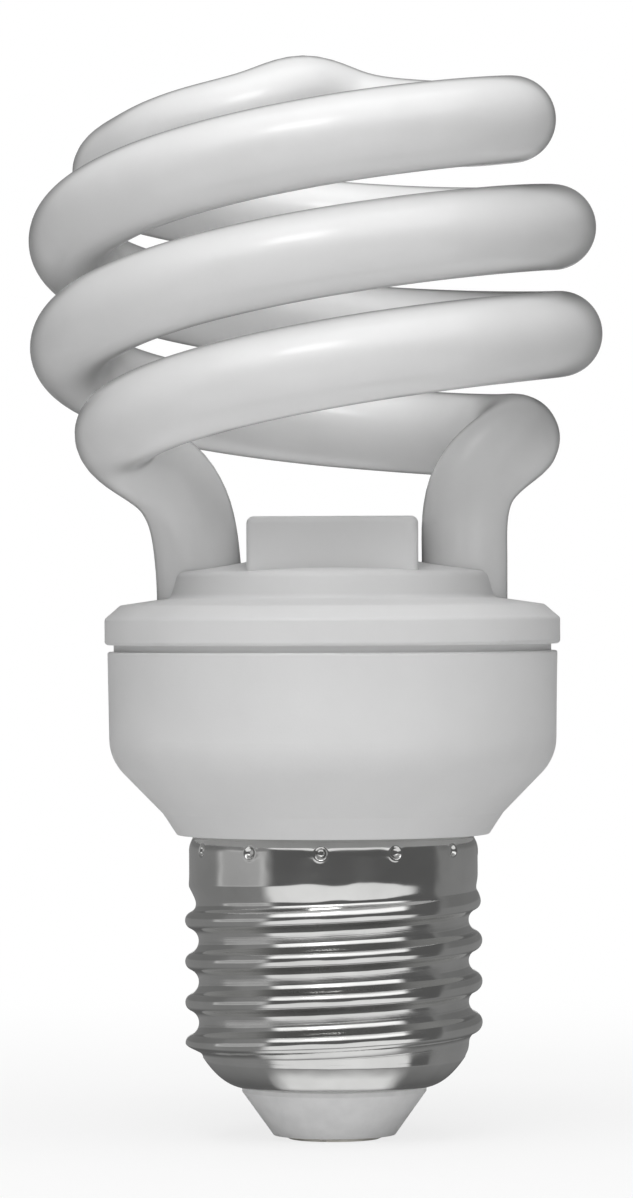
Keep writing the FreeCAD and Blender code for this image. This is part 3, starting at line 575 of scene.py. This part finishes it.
def glass_finish():
    """Clear glass over a white powder coat: a gloss coat on a matt body, with painted shade that darkens its
    colour where the surface turns away.
    """
    finish = Finish("white_coated_glass", Roughness=0.5, Coat_Weight=1.0, Coat_Roughness=0.19, Coat_IOR=1.5)
    powder = finish.colour(finish.grain(7, 4), grey(0.81), grey(0.85))
    facing = finish.tree.nodes.new("ShaderNodeLayerWeight").outputs["Facing"]
    # Painted shade: the powder's colour is darkened towards the rim, by how far the surface turns away
    painted_rim_shade = finish.tree.nodes.new("ShaderNodeVectorMath")
    painted_rim_shade.operation = "SCALE"
    finish.link(powder, painted_rim_shade.inputs[0])
    finish.link(finish.ramp(facing, *PAINTED_GLASS_RIM_SHADE), painted_rim_shade.inputs["Scale"])
    finish.link(painted_rim_shade.outputs[0], finish.shader.inputs["Base Color"])
    finish.bump((finish.grain(14, 2), 0.12), (finish.grain(4, 2), 0.01))
    return finish.material


def plastic_finish(name, dark, light):
    """White moulded plastic with a fine satin grain."""
    finish = Finish(name, IOR=1.46)
    finish.colour(finish.grain(9, 4), dark, light)
    finish.roughness(finish.grain(2.5, 3), 0.40, 0.52)
    finish.bump((finish.grain(0.22, 2), 0.006), (finish.grain(6, 2), 0.03))
    return finish.material


def nickel_finish():
    """Rolled nickel plate: slow waves, a faint haze that comes and goes, and fine lines in the valleys."""
    finish = Finish("rolled_nickel", Metallic=1.0)
    finish.colour(finish.grain(5, 4), (0.66, 0.66, 0.65), (0.76, 0.76, 0.75))
    x, y, z = finish.parts(finish.place)
    height = finish.math("DIVIDE", z, MM)
    above = finish.math("SUBTRACT", height, THREAD_CREST - THREAD_PITCH / 2)
    climb = finish.math("DIVIDE", above, THREAD_PITCH)
    around_cap = finish.math("DIVIDE", finish.math("ARCTAN2", y, x), 2 * math.pi)
    phase = finish.math("MULTIPLY", finish.math("SUBTRACT", climb, around_cap), 2 * math.pi)
    cosine = finish.math("COSINE", phase)
    wheel = finish.tree.nodes.new("ShaderNodeCombineXYZ")
    finish.link(cosine, wheel.inputs["X"])
    finish.link(finish.math("SINE", phase), wheel.inputs["Y"])
    finish.link(finish.math("MULTIPLY", z, VALLEY_LINES_RISE), wheel.inputs["Z"])
    rolled = finish.noise(wheel.outputs[0], *VALLEY_LINES)
    deep = finish.ramp(cosine, *VALLEY_COSINES)
    valley = finish.math("MULTIPLY", deep, finish.band(height, *VALLEY_SPAN))
    haze = finish.spread(finish.grain(3.5, 4), *HAZE_ROUGHNESS)
    rough = finish.math("MULTIPLY_ADD", valley, VALLEY_ROUGHNESS, haze)
    finish.link(rough, finish.shader.inputs["Roughness"])
    lines = finish.math("MULTIPLY", rolled, valley)
    finish.bump((lines, VALLEY_LINES_DEPTH), (finish.grain(5, 2), WAVE_DEPTH))
    return finish.material


def matt_finish(name, dark, light, size_mm, rough, metallic=0.0, depth_mm=0.02):
    """A plain material for an inner piece, with its own grain."""
    finish = Finish(name, Metallic=metallic)
    finish.colour(finish.grain(size_mm, 4), dark, light)
    finish.roughness(finish.grain(size_mm * 2, 3), *rough)
    finish.bump((finish.grain(size_mm, 3), depth_mm))
    return finish.material


def wound_finish(name, dark, light, stretch):
    """Enamelled wire in layers, shown as fine lines along the winding."""
    finish = Finish(name, Metallic=0.85)
    wire = finish.grain(0.5, 1, stretch)
    finish.colour(wire, dark, light)
    finish.roughness(finish.grain(1, 2), 0.25, 0.4)
    finish.bump((wire, 0.08))
    return finish.material


slot_finish = {
    "phosphor_glass": glass_finish(),
    "cover_plastic": plastic_finish("cover_white", grey(0.74), grey(0.78)),
    "housing_plastic": plastic_finish("housing_white", grey(0.74), grey(0.78)),
    "nickel_shell": nickel_finish(),
    "cap_insulation": matt_finish("cap_insulator_white", grey(0.84), grey(0.9), 1.2, (0.3, 0.42), 0, 0.01),
    "contact_metal": matt_finish("tinned_brass", (0.55, 0.53, 0.47), (0.68, 0.66, 0.6), 0.9, (0.25, 0.45), 1),
    "cement": matt_finish("leg_cement", grey(0.55), grey(0.68), 0.8, (0.75, 0.9), 0, 0.05),
    "board": matt_finish("phenolic_board", (0.36, 0.24, 0.11), (0.44, 0.31, 0.16), 0.7, (0.45, 0.6)),
    "ferrite": matt_finish("sintered_ferrite", grey(0.035), grey(0.06), 0.5, (0.5, 0.7)),
    "bobbin_plastic": matt_finish("bobbin_nylon", (0.55, 0.53, 0.47), (0.62, 0.6, 0.54), 2, (0.4, 0.5)),
    "copper_wire": wound_finish("enamelled_copper", (0.42, 0.14, 0.05), (0.72, 0.33, 0.16), (1, 1, 14)),
    "can_sleeve": matt_finish("can_sleeve_black", grey(0.02), grey(0.035), 3, (0.25, 0.35)),
    "moulded_black": matt_finish("moulded_epoxy", grey(0.022), grey(0.04), 0.3, (0.45, 0.6)),
    "film_box": matt_finish("film_box_red", (0.33, 0.05, 0.03), (0.42, 0.08, 0.05), 1.5, (0.35, 0.45)),
    "resistor_body": matt_finish("resistor_lacquer", (0.45, 0.32, 0.17), (0.55, 0.41, 0.24), 1, (0.3, 0.4)),
    "disc_body": matt_finish("disc_lacquer", (0.13, 0.27, 0.5), (0.18, 0.33, 0.58), 0.8, (0.35, 0.45)),
    "tinned_wire": matt_finish("tinned_copper", (0.5, 0.49, 0.47), (0.68, 0.67, 0.65), 0.8, (0.25, 0.4), 1),
    "wire_sleeve": matt_finish("silicone_sleeve", grey(0.5), grey(0.6), 1, (0.5, 0.6)),
}


def dress_nodes():
    """Gives each carried-over CAD node the finish of its slot."""
    for node in nodes.values():
        for place in node.material_slots:
            place.material = slot_finish[place.material.name]


# Stage

def soft_sky(graph, ray):
    """The light on matt surfaces: a little all round, most from high in front, some from behind."""
    high_front = graph.ramp(graph.dot(ray, SKY_FRONT_AXIS), *SKY_FRONT_SPREAD)
    behind = graph.math("POWER", graph.math("MAXIMUM", graph.dot(ray, (0, 1, 0)), 0), 2)
    level = graph.math("MULTIPLY_ADD", high_front, SKY_HIGH_FRONT, SKY_ALL)
    return graph.math("MULTIPLY_ADD", behind, SKY_BEHIND, level)


def studio_round(graph, ray, path):
    """What polished surfaces mirror: a grey room with dark screens, a window, lamps and a pale table."""
    x, y, z = graph.parts(ray)
    ahead = graph.math("SUBTRACT", 1, y)
    squares = graph.math("ADD", graph.math("POWER", x, 2), graph.math("POWER", ahead, 2))
    flat = graph.math("POWER", squares, 0.5)
    side = graph.math("MULTIPLY", graph.math("DEGREES", graph.math("ARCTAN2", x, ahead)), 2)
    rise = graph.math("MULTIPLY", graph.math("DEGREES", graph.math("ARCTAN2", z, flat)), 2)
    turned = graph.math("FLOORED_MODULO", side, 360)

    def lay(under, inside, strength):
        """The level with another one laid over it."""
        return graph.math("MULTIPLY_ADD", inside, graph.math("SUBTRACT", strength, under), under)

    def panel(low, high, bottom, top, soft):
        """1 inside a soft-edged panel."""
        across = graph.band(side if high < 180 else turned, low, high, soft)
        return graph.math("MULTIPLY", across, graph.band(rise, bottom, top, soft))

    def between(sides, low_line, high_line):
        """1 between two lines of rise and two soft ends."""
        above = graph.ramp(graph.math("SUBTRACT", rise, low_line), -LOW_LINE_SOFT, LOW_LINE_SOFT)
        below = graph.ramp(graph.math("SUBTRACT", high_line, rise), -HIGH_LINE_SOFT, HIGH_LINE_SOFT)
        return graph.math("MULTIPLY", graph.math("MULTIPLY", above, below), graph.band(side, *sides))

    level = ROOM_LEVEL
    for *limits, strength in ROOM_PANELS:
        level = lay(level, panel(*limits), strength)
    *beyond, strength = ROOM_BEYOND
    level = lay(level, graph.ramp(graph.math("ABSOLUTE", rise), *beyond), strength)
    boxed = between(SOFTBOX_SIDES, graph.curve(side, SOFTBOX_FOOT), SOFTBOX_HEAD)
    level = lay(level, boxed, SOFTBOX_LEVEL)
    *glare, strength = SOFTBOX_GLARE
    level = lay(level, graph.math("MULTIPLY", boxed, graph.band(rise, *glare)), strength)
    level = lay(level, between(TABLE_SIDES, TABLE_FAR, graph.curve(side, TABLE_EDGE)), TABLE_LEVEL)
    *pool, strength = TABLE_POOL
    level = lay(level, panel(*pool), strength)
    twice = graph.math("GREATER_THAN", path["Glossy Depth"], TWICE_MIRRORED)
    return lay(level, twice, graph.ramp(graph.math("ABSOLUTE", side), *GROOVE_LEVELS))


def build_world():
    """White where it is looked at, a studio in polished surfaces, and soft light on the object."""
    world = bpy.data.worlds.new("studio")
    bpy.context.scene.world = world
    world.use_nodes = True
    graph = Graph(world.node_tree)
    nodes_in = world.node_tree.nodes
    ray = nodes_in.new("ShaderNodeTexCoord").outputs["Generated"]
    path = nodes_in.new("ShaderNodeLightPath").outputs
    level = soft_sky(graph, ray)
    mirrored = studio_round(graph, ray, path)
    for kind, other in (("Is Glossy Ray", mirrored), ("Is Camera Ray", 1.0)):
        change = graph.math("SUBTRACT", other, level)
        level = graph.math("MULTIPLY_ADD", path[kind], change, level)
    background = nodes_in["Background"]
    background.inputs["Color"].default_value = (1, 1, 1, 1)
    graph.link(level, background.inputs["Strength"])


def build_floor():
    """A pale floor under the contact, white where it is looked at but keeping the lamp's shadow."""
    mesh = bpy.data.meshes.new("studio_floor")
    rim = [around(FLOOR_REACH, 360 * i / FLOOR_SIDES) for i in range(FLOOR_SIDES)]
    mesh.from_pydata(rim, [], [range(FLOOR_SIDES)])
    floor = new_object("studio_floor", mesh)
    finish = Finish("floor_paper", Roughness=0.9)
    finish.colour(finish.grain(FLOOR_MOTTLE, 2), *(grey(level) for level in FLOOR_GREYS))
    looked_at = finish.tree.nodes.new("ShaderNodeLightPath").outputs["Is Camera Ray"]
    away = finish.tree.nodes.new("ShaderNodeVectorMath")
    away.operation = "LENGTH"
    finish.link(finish.place, away.inputs[0])
    share = finish.ramp(away.outputs["Value"], *FLOOR_FADE)
    glow = finish.tree.nodes.new("ShaderNodeEmission")
    mix = finish.tree.nodes.new("ShaderNodeMixShader")
    finish.link(finish.math("MULTIPLY", looked_at, share), mix.inputs["Fac"])
    finish.link(finish.shader.outputs[0], mix.inputs[1])
    finish.link(glow.outputs[0], mix.inputs[2])
    finish.link(mix.outputs[0], finish.tree.nodes["Material Output"].inputs["Surface"])
    mesh.materials.append(finish.material)
    floor.visible_glossy = False


def soft_box(name, place, width, height, power, mirrored):
    """A rectangular studio lamp pointed at the middle of the object, which gloss mirrors or not."""
    lamp = bpy.data.lights.new(name, "AREA")
    lamp.shape = "RECTANGLE"
    lamp.size = width
    lamp.size_y = height
    lamp.energy = power
    obj = new_object(name, lamp)
    obj.location = place
    obj.rotation_euler = (LAMP_AIM - Vector(place)).to_track_quat("-Z", "Y").to_euler()
    obj.visible_glossy = mirrored


def build_camera():
    """Level with the lamp's middle and rolled a little, as the photograph was taken."""
    camera = bpy.data.cameras.new("photo_camera")
    camera.sensor_width = SENSOR
    camera.lens = SENSOR * CAMERA_DISTANCE / MM / (PHOTO_HEIGHT / PHOTO_SCALE)
    camera.clip_end = CAMERA_REACH
    obj = new_object("photo_camera", camera)
    obj.location = CAMERA_PLACE - Vector((0, CAMERA_DISTANCE, 0))
    level = Matrix.Rotation(math.radians(90), 3, "X")
    obj.rotation_euler = (level @ Matrix.Rotation(CAMERA_ROLL, 3, "Z")).to_euler()
    bpy.context.scene.camera = obj


build_camera()
build_world()
build_floor()
for box in SOFT_BOXES:
    soft_box(*box)
bpy.context.scene.view_settings.view_transform = "Standard"

dress_nodes()
glass_spiral().data.materials.append(slot_finish["phosphor_glass"])
rolled_shell().data.materials.append(slot_finish["nickel_shell"])
